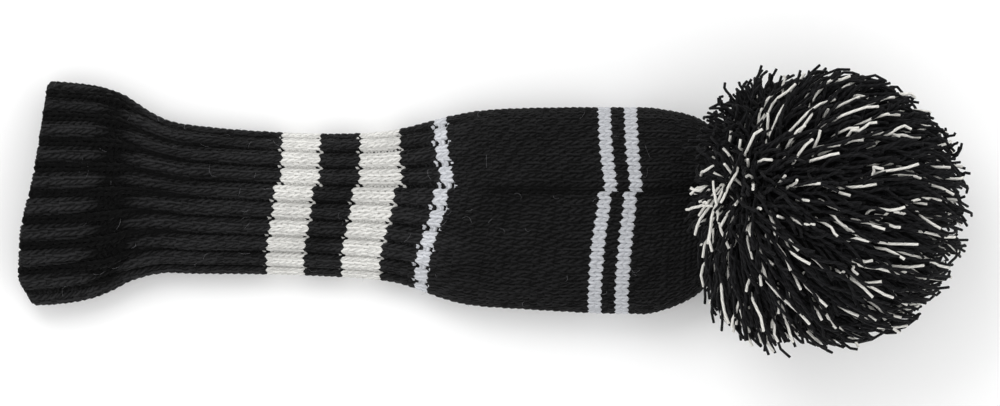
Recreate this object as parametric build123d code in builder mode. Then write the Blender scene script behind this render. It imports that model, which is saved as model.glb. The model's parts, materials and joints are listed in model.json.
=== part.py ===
from build123d import *
import os

# A knitted driver head cover: a ribbed cuff and neck, a plain-knit pouch for the
# club head with its lining, and a large yarn pom-pom tied to the gathered crown.
# Millimetres. +X runs from the open cuff to the pom-pom, +Z is up, and the cover
# lies on the plane Z = 0. The origin is the middle of its outline on that plane.

# Driving dimensions
overall_length = 450.0
fabric_thickness = 3.0
fabric_gap = 0.4
body_gap = 0.4
cuff_slant = 8.0
ball_radius = 66.3
ball_height = 60.0
tie_height = 31.0
tie_shift = 4.0
cord_radius = 1.5

# Stations along the cover, from cuff to crown: place along X, sideways shift,
# width, top height and underside. An underside below zero is pressed flat by
# the surface that the cover lies on.
mouth_half_width = 54.0
mouth = -overall_length / 2 + mouth_half_width * 0.139
crown_end = 114.0
stations = [
    (mouth, 8.0, 2 * mouth_half_width, 33.0, -6.0),
    (-188.0, 8.5, 100.0, 33.0, -6.0),
    (-174.0, 8.8, 88.0, 31.0, -5.0),
    (-161.0, 6.6, 76.0, 28.5, -4.0),
    (-145.0, 4.3, 72.0, 27.0, -4.0),
    (-99.0, 2.1, 69.0, 26.5, -4.0),
    (-66.0, 1.2, 70.0, 27.5, -4.0),
    (-46.0, 1.0, 74.0, 30.0, -4.5),
    (-17.0, 0.0, 90.0, 37.0, -6.0),
    (7.0, 0.0, 95.0, 41.0, -6.0),
    (70.0, -1.0, 98.0, 43.0, -6.0),
    (85.0, 0.0, 92.0, 42.5, -4.0),
    (97.0, 1.5, 81.0, 41.5, 0.5),
    (105.0, 2.8, 62.0, 41.0, 7.0),
    (111.0, 3.6, 38.0, 40.5, 15.0),
    (crown_end, tie_shift, 21.0, 40.0, 22.0),
]

# The outer knit, cut where the yarn changes colour and where the cover folds
cuff_fold_start = -176.0
cuff_fold_end = -146.0
neck_fold_start = -47.4
neck_fold_end = -23.5
hem_depth = 5.0
outer_sections = [
    ("cuff_rib", mouth + hem_depth, cuff_fold_start),
    ("neck_flare", cuff_fold_start + body_gap, cuff_fold_end),
    ("neck_rib_lower", cuff_fold_end, -104.0),
    ("wide_stripe_lower", -104.0, -85.0),
    ("neck_rib_middle", -85.0, -67.5),
    ("wide_stripe_upper", -67.5, neck_fold_start),
    ("neck_rib_upper", neck_fold_start + body_gap, -30.5),
    ("thin_stripe_neck", -30.5, neck_fold_end),
    ("head_lower", neck_fold_end, 47.0),
    ("thin_stripe_head", 47.0, 54.0),
    ("head_between_stripes", 54.0, 59.6),
    ("thin_stripe_crown", 59.6, 66.8),
]
lining_sections = [
    ("lining_cuff", mouth + hem_depth, cuff_fold_start),
    ("lining_neck_flare", cuff_fold_start + body_gap, cuff_fold_end),
    ("lining_neck", cuff_fold_end, neck_fold_start),
    ("lining_neck_fold", neck_fold_start + body_gap, neck_fold_end),
    ("lining_head", neck_fold_end, 66.8),
]
crown_start = outer_sections[-1][2]

# Fabric layers, as depths below the outer surface
lining_outside = fabric_thickness + fabric_gap
lining_inside = lining_outside + fabric_thickness

# Crown, thread and tie
collar_radius = 8.5
collar_end = crown_end + 4.0
thread_radius = 1.0
tie_hole_radius = 2.6
knot_radius = 3.4
knot_place = 97.5
hitch_radius = 2.2
pivot = collar_end + 3.5
ball_face = pivot + 2.0
waist_radius = 6.2
binding_radius = 1.6
waist_groove = 3.9
strand_radius = 0.65
tie_axis = Vector(0, tie_shift, tie_height)
ball_centre = Vector(overall_length / 2 - ball_radius, 0, ball_height)


def value_at(place, field):
    """One field of the stations at a place along X, on a smooth curve through them."""
    after = next((i for i, s in enumerate(stations) if s[0] > place), len(stations) - 1)
    after = max(after, 1)
    near = [stations[max(0, min(i, len(stations) - 1))] for i in range(after - 2, after + 2)]
    before_x, start_x, end_x, after_x = (s[0] for s in near)
    before, start, end, beyond = (s[field] for s in near)
    span = end_x - start_x
    part = min((place - start_x) / span, 1.0)
    slope_start = (end - before) / (end_x - before_x)
    slope_end = (beyond - start) / (after_x - start_x)
    bend_start = slope_start * span - (end - start)
    bend_end = (end - start) - slope_end * span
    straight = start + (end - start) * part
    return straight + part * (1 - part) * ((1 - part) * bend_start + part * bend_end)


def section_plane(place):
    """The plane of a cross-section: upright, and turned a little where the mouth slants."""
    share = max(0.0, min(1.0, (-160.0 - place) / (-160.0 - mouth)))
    shift = value_at(place, 1)
    return Plane((place, shift, 0), x_dir=(0, 1, 0), z_dir=(1, 0, 0)).rotated((0, 0, -cuff_slant * share))


def knit_form(start, end, depth, steps):
    """The space inside the outer knit at a depth below its surface, lying on the floor."""
    with BuildPart() as form:
        for step in range(steps + 1):
            place = start + (end - start) * step / steps
            look = min(place + depth, crown_end)
            half_width = value_at(look, 2) / 2 - depth
            top = value_at(look, 3) - depth
            bottom = value_at(look, 4) + depth
            with BuildSketch(section_plane(place)):
                with Locations((0, (top + bottom) / 2)):
                    Ellipse(half_width, (top - bottom) / 2)
        loft()
        split(bisect_by=Plane.XY.offset(depth), keep=Keep.TOP)
    return form.part


def layer_steps(start, end):
    """Lofts one station for about every ten millimetres of fabric."""
    return max(1, round((end - start) / 10))


def export(piece, name):
    piece.part.label = name
    export_step(piece.part, f"parts/{name}.step")


os.makedirs("parts", exist_ok=True)

# The knitted tube, outside and lining, one section at a time
layers = [(outer_sections, 0.0, fabric_thickness), (lining_sections, lining_outside, lining_inside)]
for sections, outside, inside in layers:
    for name, start, end in sections:
        steps = layer_steps(start, end)
        body = knit_form(start, end, outside, steps)
        room = knit_form(start, end, inside, steps)
        with BuildPart() as section:
            add(body)
            add(room, mode=Mode.SUBTRACT)
        export(section, name)

# The turned hem joins the outer knit to the lining at the mouth
hem_body = knit_form(mouth, mouth + hem_depth, 0, 1)
hem_room = knit_form(mouth, mouth + hem_depth, lining_inside, 1)
with BuildPart() as cuff_hem:
    add(hem_body)
    add(hem_room, mode=Mode.SUBTRACT)
export(cuff_hem, "cuff_hem")

# The crown closes in a dome, gathered into a small collar round the tie hole
crown_steps = 6
crown_body = knit_form(crown_start, crown_end, 0, crown_steps)
crown_room = knit_form(crown_start, crown_end - lining_outside, fabric_thickness, crown_steps)
with BuildPart() as crown:
    add(crown_body)
    add(crown_room, mode=Mode.SUBTRACT)
    with BuildSketch(Plane.YZ.offset(crown_end)):
        with Locations((tie_shift, tie_height)):
            Circle(collar_radius)
    extrude(amount=collar_end - crown_end)
    with BuildSketch(Plane.YZ.offset(knot_place)):
        with Locations((tie_shift, tie_height)):
            Circle(tie_hole_radius)
    extrude(amount=collar_end - knot_place, mode=Mode.SUBTRACT)
export(crown, "crown")

lining_end = crown_end - lining_outside - fabric_gap
lining_body = knit_form(crown_start, lining_end, lining_outside, crown_steps)
lining_room = knit_form(crown_start, crown_end - lining_inside - fabric_thickness, lining_inside, crown_steps)
with BuildPart() as lining_crown:
    add(lining_body)
    add(lining_room, mode=Mode.SUBTRACT)
    with BuildSketch(Plane.YZ.offset(knot_place)):
        with Locations((tie_shift, tie_height)):
            Circle(tie_hole_radius)
    extrude(amount=collar_end - knot_place, mode=Mode.SUBTRACT)
export(lining_crown, "lining_crown")

# The thread that draws the last row together lies round the collar
thread_place = (crown_end + collar_end) / 2
with BuildPart() as gathering_thread:
    with BuildSketch(Plane.XZ.offset(-tie_shift)):
        with Locations((thread_place, tie_height + collar_radius + thread_radius + 0.05)):
            Circle(thread_radius)
    revolve(axis=Axis(tie_axis, (1, 0, 0)))
export(gathering_thread, "crown_gathering_thread")

# The tie: a knot inside the crown, a cord through the hole, and the hitch it turns on
with BuildPart() as tie_knot:
    with Locations((knot_place, tie_shift, tie_height)):
        Sphere(knot_radius)
export(tie_knot, "pompom_tie_knot")

cord_start = knot_place + knot_radius + 0.05
cord_end = pivot - hitch_radius - 0.3
with BuildPart() as tie_cord:
    with BuildSketch(Plane.YZ.offset(cord_start)):
        with Locations((tie_shift, tie_height)):
            Circle(cord_radius)
    extrude(amount=cord_end - cord_start)
export(tie_cord, "pompom_tie_cord")

with BuildPart() as tie_hitch:
    with Locations((pivot, tie_shift, tie_height)):
        Sphere(hitch_radius)
export(tie_hitch, "pompom_tie_hitch")

# The pom-pom: a ball of cut yarn, flat where it rests and where it faces the crown,
# with a pocket for the hitch and a groove where the binding draws its waist in
waist_end = ball_face + 2 * waist_groove
with BuildPart() as black_yarn:
    with Locations(ball_centre):
        Sphere(ball_radius)
    with Locations((ball_face, 0, 0)):
        Box(
            2 * ball_radius,
            2 * ball_radius,
            3 * ball_radius,
            align=(Align.MIN, Align.CENTER, Align.MIN),
            mode=Mode.INTERSECT,
        )
    with BuildSketch(Plane.YZ.offset(ball_face)):
        with Locations((tie_shift, tie_height)):
            Circle(waist_radius + waist_groove)
            Circle(waist_radius, mode=Mode.SUBTRACT)
    extrude(amount=2 * waist_groove, mode=Mode.SUBTRACT)
    with BuildSketch(Plane.YZ.offset(ball_face)):
        with Locations((tie_shift, tie_height)):
            Circle(2 * hitch_radius)
    extrude(amount=hitch_radius, mode=Mode.SUBTRACT)
export(black_yarn, "pompom_black_yarn")

with BuildPart() as binding:
    with BuildSketch(Plane.XZ.offset(-tie_shift)):
        with Locations((ball_face + waist_groove, tie_height + waist_radius + binding_radius + 0.1)):
            Circle(binding_radius)
    revolve(axis=Axis(tie_axis, (1, 0, 0)))
export(binding, "pompom_binding")

# White strands lie on the ball in two rings, each strand along a meridian
strand_ring = ball_radius + strand_radius + 0.1
strand_span = 14
strand_rings = [(24, 9), (50, 7)]
strands = []
for lift, count in strand_rings:
    with BuildPart() as strand:
        with BuildLine(Plane.XZ) as meridian:
            CenterArc((0, 0), strand_ring, lift, strand_span)
        with BuildSketch(Plane(meridian.line @ 0, z_dir=meridian.line % 0)):
            Circle(strand_radius)
        sweep()
    strands.append((strand.part, count))
with BuildPart() as white_yarn:
    with Locations(ball_centre):
        for strand_part, count in strands:
            with PolarLocations(0, count, start_angle=-110, angular_range=220):
                add(strand_part)
export(white_yarn, "pompom_white_yarn")
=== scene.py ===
import json
import math
from functools import partial
from typing import NamedTuple

import bmesh
import bpy
import numpy as np
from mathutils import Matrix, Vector
from mathutils.bvhtree import BVHTree

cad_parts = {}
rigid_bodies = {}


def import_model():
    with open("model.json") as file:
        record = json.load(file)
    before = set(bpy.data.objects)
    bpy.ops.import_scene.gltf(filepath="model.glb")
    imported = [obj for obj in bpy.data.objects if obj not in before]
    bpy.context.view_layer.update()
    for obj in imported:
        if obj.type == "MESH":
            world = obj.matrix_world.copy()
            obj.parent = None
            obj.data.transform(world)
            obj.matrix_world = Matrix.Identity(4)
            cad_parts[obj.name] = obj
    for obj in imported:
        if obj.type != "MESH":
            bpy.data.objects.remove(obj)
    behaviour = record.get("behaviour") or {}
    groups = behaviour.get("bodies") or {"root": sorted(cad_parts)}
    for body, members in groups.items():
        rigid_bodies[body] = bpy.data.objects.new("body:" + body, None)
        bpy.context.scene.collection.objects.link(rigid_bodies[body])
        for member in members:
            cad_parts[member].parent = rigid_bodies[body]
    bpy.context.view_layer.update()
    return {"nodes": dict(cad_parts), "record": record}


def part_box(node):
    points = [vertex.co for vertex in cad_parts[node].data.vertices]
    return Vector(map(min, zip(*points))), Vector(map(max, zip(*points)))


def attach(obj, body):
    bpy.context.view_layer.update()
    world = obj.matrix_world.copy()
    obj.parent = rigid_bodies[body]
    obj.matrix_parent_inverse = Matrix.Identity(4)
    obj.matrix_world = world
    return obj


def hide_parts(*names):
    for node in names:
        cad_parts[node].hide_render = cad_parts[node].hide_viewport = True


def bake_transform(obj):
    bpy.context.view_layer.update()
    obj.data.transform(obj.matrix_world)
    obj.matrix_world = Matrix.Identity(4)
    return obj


bl_info = {
    "name": "Knitted Head Cover",
    "version": (1, 0, 0),
    "blender": (4, 5, 0),
    "location": "3D View > Sidebar > Head Cover",
    "description": "Knits a striped golf head cover with a yarn pom-pom around its CAD frame",
    "category": "Object",
}

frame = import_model()

MM = 0.001


class Band(NamedTuple):
    """A stretch of the knit in one yarn: its CAD node, its rows, and the fold that it bends with."""

    node: str
    rows: int
    fold: str = ""
    yarn: str = "black"
    ribbed: bool = True


# The outer knit from cuff to crown, and the lining from the turned hem inwards.
BANDS = (
    Band("cuff_rib", 12, "cuff_fold"),
    Band("neck_flare", 9, "cuff_fold"),
    Band("neck_rib_lower", 13, "cuff_fold"),
    Band("wide_stripe_lower", 6, yarn="white"),
    Band("neck_rib_middle", 6),
    Band("wide_stripe_upper", 6, "neck_fold", "white"),
    Band("neck_rib_upper", 5, "neck_fold"),
    Band("thin_stripe_neck", 2, "neck_fold", "cool white"),
    Band("head_lower", 22, "neck_fold", ribbed=False),
    Band("thin_stripe_head", 2, yarn="cool white", ribbed=False),
    Band("head_between_stripes", 2, ribbed=False),
    Band("thin_stripe_crown", 2, yarn="cool white", ribbed=False),
    Band("crown", 20, ribbed=False),
)
LINING_BANDS = (Band("lining_cuff", 13, "cuff_fold"), Band("lining_neck_flare", 9, "cuff_fold"))
HEM_ROWS = 1

WALES = 57
RIB_WALES = 3
# A rib's knit wales come first, and this is the middle of its purl wale.
KNIT_WALES = 2
PURL_MIDDLE = 2.5
# How far under the skin the cloth's middle lies, and how tightly it turns at the hem.
FACE_DEPTH = 2.0 * MM
HEM_RADIUS = 1.8 * MM
# The cloth's middle lies at least this far above the floor.
RESTING = 2.1 * MM
# A row's loops reach past it, so a striped band's own rows stand a little closer.
STRIPE_INSET = 0.6 * MM
# The wale that full-size yarn needs, and how thin the yarn is drawn where wales are narrower.
NARROWEST_WALE = 3.3 * MM
THINNEST_YARN = 0.34

# The hidden lining's yarn is drawn with fewer points to a stitch, and fewer sides.
LINING_POINTS = 10
LINING_SIDES = 4

# The skin's rings: points round each, how far apart the rings are, and how far to each side of
# a gap between bands one looks.
SIDE_STEPS = 96
PLACE_STEP = 2 * MM
GAP_REACH = 0.7 * MM
# The surface's grid: points to a wale and to a row, and how far it runs past its ends.
WALE_STEPS = 4
ROW_STEPS = 2
WALE_MARGIN = 1
ROW_MARGIN = 2


def joint(name):
    return next(j for j in frame["record"]["behaviour"]["joints"] if j["name"] == name)


def mount(name):
    return next(m for m in frame["record"]["mounts"] if m["name"] == name)


def smooth_step(value, low, high):
    share = np.clip((value - low) / (high - low), 0, 1)
    return share * share * (3 - 2 * share)


def bell(value, middle, width):
    return np.exp(-(((value - middle) / width) ** 2))


# ---------------------------------------------------------------- the shape of the knit

MOUTH = mount("club_head_mouth")["pos_m"][0]
PIVOT = Vector(joint("pompom_nod")["pos_m"])
CROWN_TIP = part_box("crown_gathering_thread")[0][0] - 0.5 * MM
# The mouth is cut on a slant, which fades out along the cuff.
MOUTH_SLANT = 0.14
SLANT_END = -160 * MM
# Shares of the way round, from the start of the rounds: near the top, and two down one side.
TOP_SHARE = 0.02
SIDE_SHARES = (0.27, 0.08)
# How far the start of the rounds is from the middle of the top.
START_ASIDE = 9 * MM
# How far out the slant carries the places where the +Y and -Y sides are looked for.
HIGH_SIDE, LOW_SIDE = 55 * MM, 35 * MM

# The way from the pom-pom's centre to the parting that its strands fan out from.
WHORL_WAY = Vector((-52, 14, 38))
# The golden ratio's fraction: steps of this share of a turn never line up.
GOLDEN = 0.6180339887

# How the rows lean, in millimetres, at places along the cover: the -Y half, the +Y half, and
# a pull towards the crown near the start of the rounds.
LEAN = (
    (-217, 0.0, 0.0, 0.0), (-188, -2.2, 0.2, 0.0), (-160, -4.8, 2.0, 0.0), (-145, -4.5, 1.8, 0.2),
    (-95, -3.8, 2.0, 0.7), (-57, -5.5, 2.2, 1.0), (-27, -8.0, -0.4, 2.8), (10, -5.0, -0.8, 2.6),
    (50, -3.0, 0.0, 2.4), (64, -3.0, -0.6, 1.4), (90, -1.5, 0.0, 0.8), (114, 0.0, 0.0, 0.0),
)
PULL_WIDTH = 15 * MM
# How far the mouth's edge turns in at its -Y corner and bows out beside the middle, in
# millimetres, and how far along the cuff that reaches.
MOUTH_TURN_IN = 6.5
MOUTH_BOW = 2.2
MOUTH_REACH = 30 * MM
# The rib: the purl column's width beside a knit column's, and its depth in millimetres.
RIB = (
    (-217, 1.25, 2.4), (-190, 1.15, 3.0), (-162, 0.60, 2.6), (-140, 0.42, 1.9), (-42, 0.42, 1.7),
    (-24, 0.95, 0.5), (-10, 1.0, 0.0), (114, 1.0, 0.0),
)
# Hollows in the cloth: the crease at the start of the rounds, the pinch above the cuff, the
# swell on the cuff's -Y side, and the slack all over.
CREASE_DEPTH, CREASE_WIDTH = 1.3 * MM, 2.6 * MM
PINCH_DEPTH, PINCH_PLACE, PINCH_WIDTH = 1.8 * MM, -181 * MM, 8 * MM
SWELL_HEIGHT, SWELL_PLACE, SWELL_WIDTH = 2.2 * MM, -198 * MM, 28 * MM
SLACK_DEPTH, SLACK_STEP = 0.5 * MM, 13 * MM
# A column sunk this far takes the full painted shade, and the pouch is drawn darker than the rib.
FULL_SHADE_DEPTH = 1.6 * MM
POUCH_DARKER = 0.55


def along_table(table, place, column):
    """A column of a table of places in millimetres, at places in metres."""
    rows = np.array(table, float)
    return np.interp(np.asarray(place) / MM, rows[:, 0], rows[:, column])


def lengths_along(points):
    """How far along a line of points each of them is."""
    steps = np.linalg.norm(np.diff(points, axis=0), axis=1)
    return np.concatenate([[0], np.cumsum(steps)])


class OuterSkin:
    """The outer surface of the CAD knit, as rings of points evenly spaced round the tube."""

    def __init__(self):
        polygons, corners = [], []
        for band in ("cuff_hem", *(band.node for band in BANDS)):
            mesh = frame["nodes"][band].data
            first = len(corners)
            corners += [v.co.copy() for v in mesh.vertices]
            polygons += [[first + i for i in p.vertices] for p in mesh.polygons]
        self.tree = BVHTree.FromPolygons(corners, polygons)
        self.places = np.arange(MOUTH + 3 * MM, CROWN_TIP, PLACE_STEP)
        self.rings = np.array([self.ring(x) for x in self.places])

    def hit(self, start, way):
        """How far the nearest skin is one way from a point, past the gaps between bands."""
        start = Vector(start)
        reached = [math.inf]
        for aside in (-GAP_REACH, 0, GAP_REACH):
            distance = self.tree.ray_cast(start + Vector((aside, 0, 0)), Vector(way))[3]
            if distance is not None:
                reached.append(distance)
        if min(reached) == math.inf:
            raise RuntimeError(f"no knit surface seen from {start}")
        return min(reached)

    def ring(self, place):
        """Points round the tube at a place, evenly spaced from the round's start over the top."""
        slant = MOUTH_SLANT * min(max((SLANT_END - place) / (SLANT_END - MOUTH), 0), 1)
        top = 1 - self.hit((place, PIVOT.y, 1), (0, 0, -1))
        bottom = self.hit((place, PIVOT.y, -1), (0, 0, 1)) - 1
        middle_z = (top + bottom) / 2
        high_y = 1 - self.hit((place + slant * HIGH_SIDE, 1, middle_z), (0, -1, 0))
        low_y = self.hit((place - slant * LOW_SIDE, -1, middle_z), (0, 1, 0)) - 1
        middle_y = (high_y + low_y) / 2
        middle = Vector((place, middle_y, middle_z))
        aside = min(START_ASIDE, 0.13 * (high_y - low_y))
        seam = 1 - self.hit((place + slant * aside, middle_y + aside, 1), (0, 0, -1))
        seam_turn = math.atan2(seam - middle_z, aside)
        turns = seam_turn + np.linspace(0, 2 * math.pi, SIDE_STEPS + 1)
        points = []
        for turn in turns:
            way = Vector((slant * math.cos(turn), math.cos(turn), math.sin(turn)))
            reach = 1 - self.hit(middle + way, -way) / way.length
            points.append((middle + way * reach)[:])
        points = np.array(points)
        length = lengths_along(points)
        even = np.linspace(0, length[-1], SIDE_STEPS + 1)
        return np.stack([np.interp(even, length, points[:, axis]) for axis in range(3)], axis=1)

    def at(self, place, share):
        """Points of the skin at places along and shares round it. It runs on past both ends."""
        spot = (np.asarray(place) - self.places[0]) / PLACE_STEP
        row = np.clip(np.floor(spot).astype(int), 0, len(self.places) - 2)
        part = (spot - row)[..., None]
        turn = (np.asarray(share) % 1.0) * SIDE_STEPS
        column = np.clip(np.floor(turn).astype(int), 0, SIDE_STEPS - 1)
        side = (turn - column)[..., None]
        first = self.rings[row, column] * (1 - side) + self.rings[row, column + 1] * side
        second = self.rings[row + 1, column] * (1 - side) + self.rings[row + 1, column + 1] * side
        return first * (1 - part) + second * part

    def girth(self, place):
        """The length round the skin at places along it."""
        rounds = np.linalg.norm(np.diff(self.rings, axis=1), axis=2).sum(1)
        return np.interp(place, self.places, rounds)


def band_ends():
    """Where each band starts along the cover: the middle of the gap between two nodes' boxes."""
    ends = [MOUTH + HEM_RADIUS]
    for band, after in zip(BANDS, BANDS[1:]):
        inset = STRIPE_INSET * (("stripe_" in after.node) - ("stripe_" in band.node))
        ends.append((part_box(band.node)[1][0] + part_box(after.node)[0][0]) / 2 + inset)
    return ends + [CROWN_TIP]


def crown_places(skin, start, rows):
    """Places of the crown's rows, evenly spaced along the curve of its side."""
    places = np.linspace(start, CROWN_TIP, 60)
    sides = sum(skin.at(places, np.full_like(places, share)) * 0.5 for share in SIDE_SHARES)
    length = lengths_along(sides)
    return np.interp(np.linspace(0, length[-1], rows + 1), length, places)


def row_places(skin):
    """The place along the cover of each row of the outer knit, from row HEM_ROWS up."""
    ends = band_ends()
    places = [ends[0]]
    for band, start, end in zip(BANDS, ends, ends[1:]):
        if band.node == "crown":
            places += list(crown_places(skin, start, band.rows)[1:])
        else:
            places += list(np.linspace(start, end, band.rows + 1)[1:])
    return np.array(places)


def first_row_of(node):
    """The row of the outer knit that a band starts with."""
    nodes = [band.node for band in BANDS]
    return HEM_ROWS + sum(band.rows for band in BANDS[:nodes.index(node)])


def wale_share(wale, purl_width):
    """How far round the tube a wale lies when every third one has another width."""
    rib = np.floor(wale / RIB_WALES)
    within = wale - rib * RIB_WALES
    widths = np.where(within < KNIT_WALES, within, KNIT_WALES + (within - KNIT_WALES) * purl_width)
    return (rib + widths / (KNIT_WALES + purl_width)) * RIB_WALES / WALES


def knit_grid():
    """The rows and wales that the knit's surface spans, as a tree's inputs."""
    outer_rows = HEM_ROWS + sum(band.rows for band in BANDS)
    inner_rows = HEM_ROWS + sum(band.rows for band in LINING_BANDS)
    low_row, high_row = float(-inner_rows - ROW_MARGIN), float(outer_rows + ROW_MARGIN)
    return {"Wales": WALES, "Low Row": low_row, "High Row": high_row}


def places_of_rows(skin, row):
    """Each row's place along the cover. Rows turn back at the hem and run on past the crown."""
    places = row_places(skin)
    last = len(places) - 1
    beyond = np.maximum(np.abs(row) - HEM_ROWS, 0)
    place = np.interp(beyond, np.arange(last + 1), places)
    return place + np.maximum(beyond - last, 0) * (places[-1] - places[-2])


def lean_of(skin, place, share, from_start):
    """How far along the cover each point of the rows lies from its row's place."""
    flat = skin.at(place, share)
    middle = skin.at(place, np.full_like(share, TOP_SHARE))
    half = skin.girth(place) / 4
    aside = np.clip((flat[..., 1] - middle[..., 1]) / half, -1.2, 1.0)
    lean = along_table(LEAN, place, 1) * smooth_step(-aside, 0, 0.85)
    lean = lean + along_table(LEAN, place, 2) * smooth_step(aside, 0, 0.85)
    lean = lean + along_table(LEAN, place, 3) * bell(from_start, 0, PULL_WIDTH)
    side = flat[..., 1]
    edge = MOUTH_TURN_IN * smooth_step(-side, 32 * MM, 50 * MM)
    edge = edge - MOUTH_BOW * bell(side, -10 * MM, 18 * MM)
    return (lean + edge * (1 - smooth_step(place, MOUTH, MOUTH + MOUTH_REACH))) * MM


def hollows(wale, place, share, from_start, outward, valley):
    """How far the cloth sinks below its skin: rib valleys, crease, pinch, slack and swell."""
    from_purl = (wale - PURL_MIDDLE + RIB_WALES / 2) % RIB_WALES - RIB_WALES / 2
    top_side = smooth_step(outward[..., 2], 0.1, 0.7)
    low_side = smooth_step(-outward[..., 1], 0.3, 0.9)
    sunk = valley * bell(from_purl, 0, 0.75)
    sunk = sunk + CREASE_DEPTH * bell(from_start, 0, CREASE_WIDTH) * smooth_step(place, -20 * MM, 5 * MM)
    sunk = sunk + PINCH_DEPTH * bell(place, PINCH_PLACE, PINCH_WIDTH) * top_side
    slack = np.sin(place / SLACK_STEP + 5 * share * 2 * math.pi) * np.sin(3 * share * 2 * math.pi + 1)
    sunk = sunk + SLACK_DEPTH * slack * top_side
    return sunk - SWELL_HEIGHT * bell(place, SWELL_PLACE, SWELL_WIDTH) * low_side


def grid_mesh(name, position, values):
    """A mesh over a grid of points, with vector attributes on them."""
    mesh = bpy.data.meshes.new(name)
    tall, wide = position.shape[:2]
    index = np.arange(tall * wide).reshape(tall, wide)
    quads = np.stack([index[:-1, :-1], index[:-1, 1:], index[1:, 1:], index[1:, :-1]], axis=-1)
    mesh.from_pydata(position.reshape(-1, 3).tolist(), [], quads.reshape(-1, 4).tolist())
    for label, vectors in values.items():
        layer = mesh.attributes.new(label, "FLOAT_VECTOR", "POINT")
        layer.data.foreach_set("vector", vectors.astype(np.float32).ravel())
    return mesh


def knit_surface():
    """The middle surface of the knit as a mesh: its cell attribute counts wales and rows."""
    skin = OuterSkin()
    low_row, high_row = (int(knit_grid()[end]) for end in ("Low Row", "High Row"))
    wales = np.arange(-WALE_MARGIN * WALE_STEPS, (WALES + WALE_MARGIN) * WALE_STEPS + 1) / WALE_STEPS
    rows = np.arange(low_row * ROW_STEPS, high_row * ROW_STEPS + 1) / ROW_STEPS
    wale, row = np.meshgrid(wales, rows)

    # Round the hem the surface turns through half a circle, from the outside to the lining.
    bend = np.clip(row, -HEM_ROWS, HEM_ROWS) / HEM_ROWS * math.pi / 2
    at_hem = np.abs(row) < HEM_ROWS
    facing = np.sin(bend)
    place = places_of_rows(skin, row) - HEM_RADIUS * np.cos(bend) * at_hem
    depth = FACE_DEPTH + HEM_RADIUS * (1 - facing)

    share = wale_share(wale, along_table(RIB, place, 1))
    valley = along_table(RIB, place, 2) * MM
    from_start = np.minimum(share % 1, 1 - share % 1) * skin.girth(place)
    place = place + lean_of(skin, place, share, from_start)
    point = skin.at(place, share)
    nudge, share_nudge = 1 * MM, 0.006
    down_tube = skin.at(place + nudge, share) - skin.at(place - nudge, share)
    round_tube = skin.at(place, share + share_nudge) - skin.at(place, share - share_nudge)
    outward = np.cross(round_tube, down_tube)
    outward /= np.linalg.norm(outward, axis=-1, keepdims=True)

    sunk = hollows(wale, place, share, from_start, outward, valley)
    position = point - outward * (depth + sunk * facing)[..., None]
    position[..., 2] = np.maximum(position[..., 2], RESTING)
    normal = outward * facing[..., None]
    normal[..., 0] -= np.cos(bend) * at_hem
    size = np.clip(skin.girth(place) / WALES / NARROWEST_WALE, THINNEST_YARN, 1.0)
    # Painted shade: the raised share darkens the yarn's colour where the cloth sinks, in rib valleys,
    # crease and pinch; the pouch is drawn darker as well.
    on_pouch = smooth_step(place, -40 * MM, -5 * MM)
    raised = np.clip(1 - sunk / FULL_SHADE_DEPTH, 0, 1) * (1 - POUCH_DARKER * on_pouch)
    return grid_mesh("knit_surface", position, {
        "cell": np.stack([
            (wale + WALE_MARGIN) / (WALES + 2 * WALE_MARGIN),
            (row - low_row) / (high_row - low_row),
            np.zeros_like(row),
        ], axis=-1),
        "outward": normal,
        "yarn": np.stack([size, raised, np.zeros_like(size)], axis=-1),
    })


# ---------------------------------------------------------------- nodes, trees and pieces

# The kind of node that the trees are mostly made of.
MATH = "ShaderNodeMath"


def add_node(tree, kind, *inputs, **settings):
    """Adds a node with its settings, and gives its inputs in order a value or a link."""
    node = tree.nodes.new(kind)
    for name, value in settings.items():
        setattr(node, name, value)
    sockets = [s for s in node.inputs if s.enabled]
    for socket, given in zip(sockets, inputs):
        if isinstance(given, bpy.types.Node):
            given = next(s for s in given.outputs if s.enabled)
        if isinstance(given, bpy.types.NodeSocket):
            tree.links.new(given, socket)
        elif given is not None:
            socket.default_value = given
    return node


def new_tree(name, inputs):
    """An empty geometry tree: itself, its inputs by name, and add_node with the tree filled in."""
    tree = bpy.data.node_groups.new(name, "GeometryNodeTree")
    tree.interface.new_socket("Surface", in_out="INPUT", socket_type="NodeSocketGeometry")
    for kind, labels in inputs.items():
        for label in labels.split(", "):
            tree.interface.new_socket(label, in_out="INPUT", socket_type=f"NodeSocket{kind}")
    tree.interface.new_socket("Mesh", in_out="OUTPUT", socket_type="NodeSocketGeometry")
    given = tree.nodes.new("NodeGroupInput").outputs
    return tree, given, partial(add_node, tree)


def finish_tree(tree, add, geometry, material):
    """Ends a tree: smooth shading, real geometry in place of instances, and one material."""
    smooth = add("GeometryNodeSetShadeSmooth", geometry)
    real = add("GeometryNodeRealizeInstances", smooth)
    painted = add("GeometryNodeSetMaterial", real, None, material)
    out = tree.nodes.new("NodeGroupOutput")
    tree.links.new(painted.outputs[0], out.inputs[0])


def new_object(name, data):
    """An object of the scene with its data."""
    thing = bpy.data.objects.new(name, data)
    bpy.context.scene.collection.objects.link(thing)
    return thing


def grow(name, tree, source, values):
    """Runs a tree on a source mesh and keeps the result as a plain mesh object."""
    carrier = new_object(f"{name}_carrier", source)
    modifier = carrier.modifiers.new(tree.name, "NODES")
    modifier.node_group = tree
    for item in tree.interface.items_tree:
        if item.in_out == "INPUT" and item.name in values:
            modifier[item.identifier] = values[item.name]
    depsgraph = bpy.context.evaluated_depsgraph_get()
    mesh = bpy.data.meshes.new_from_object(carrier.evaluated_get(depsgraph), depsgraph=depsgraph)
    bpy.data.objects.remove(carrier)
    if not mesh.polygons:
        raise RuntimeError(f"{name} has no faces")
    return new_object(name, mesh)


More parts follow.
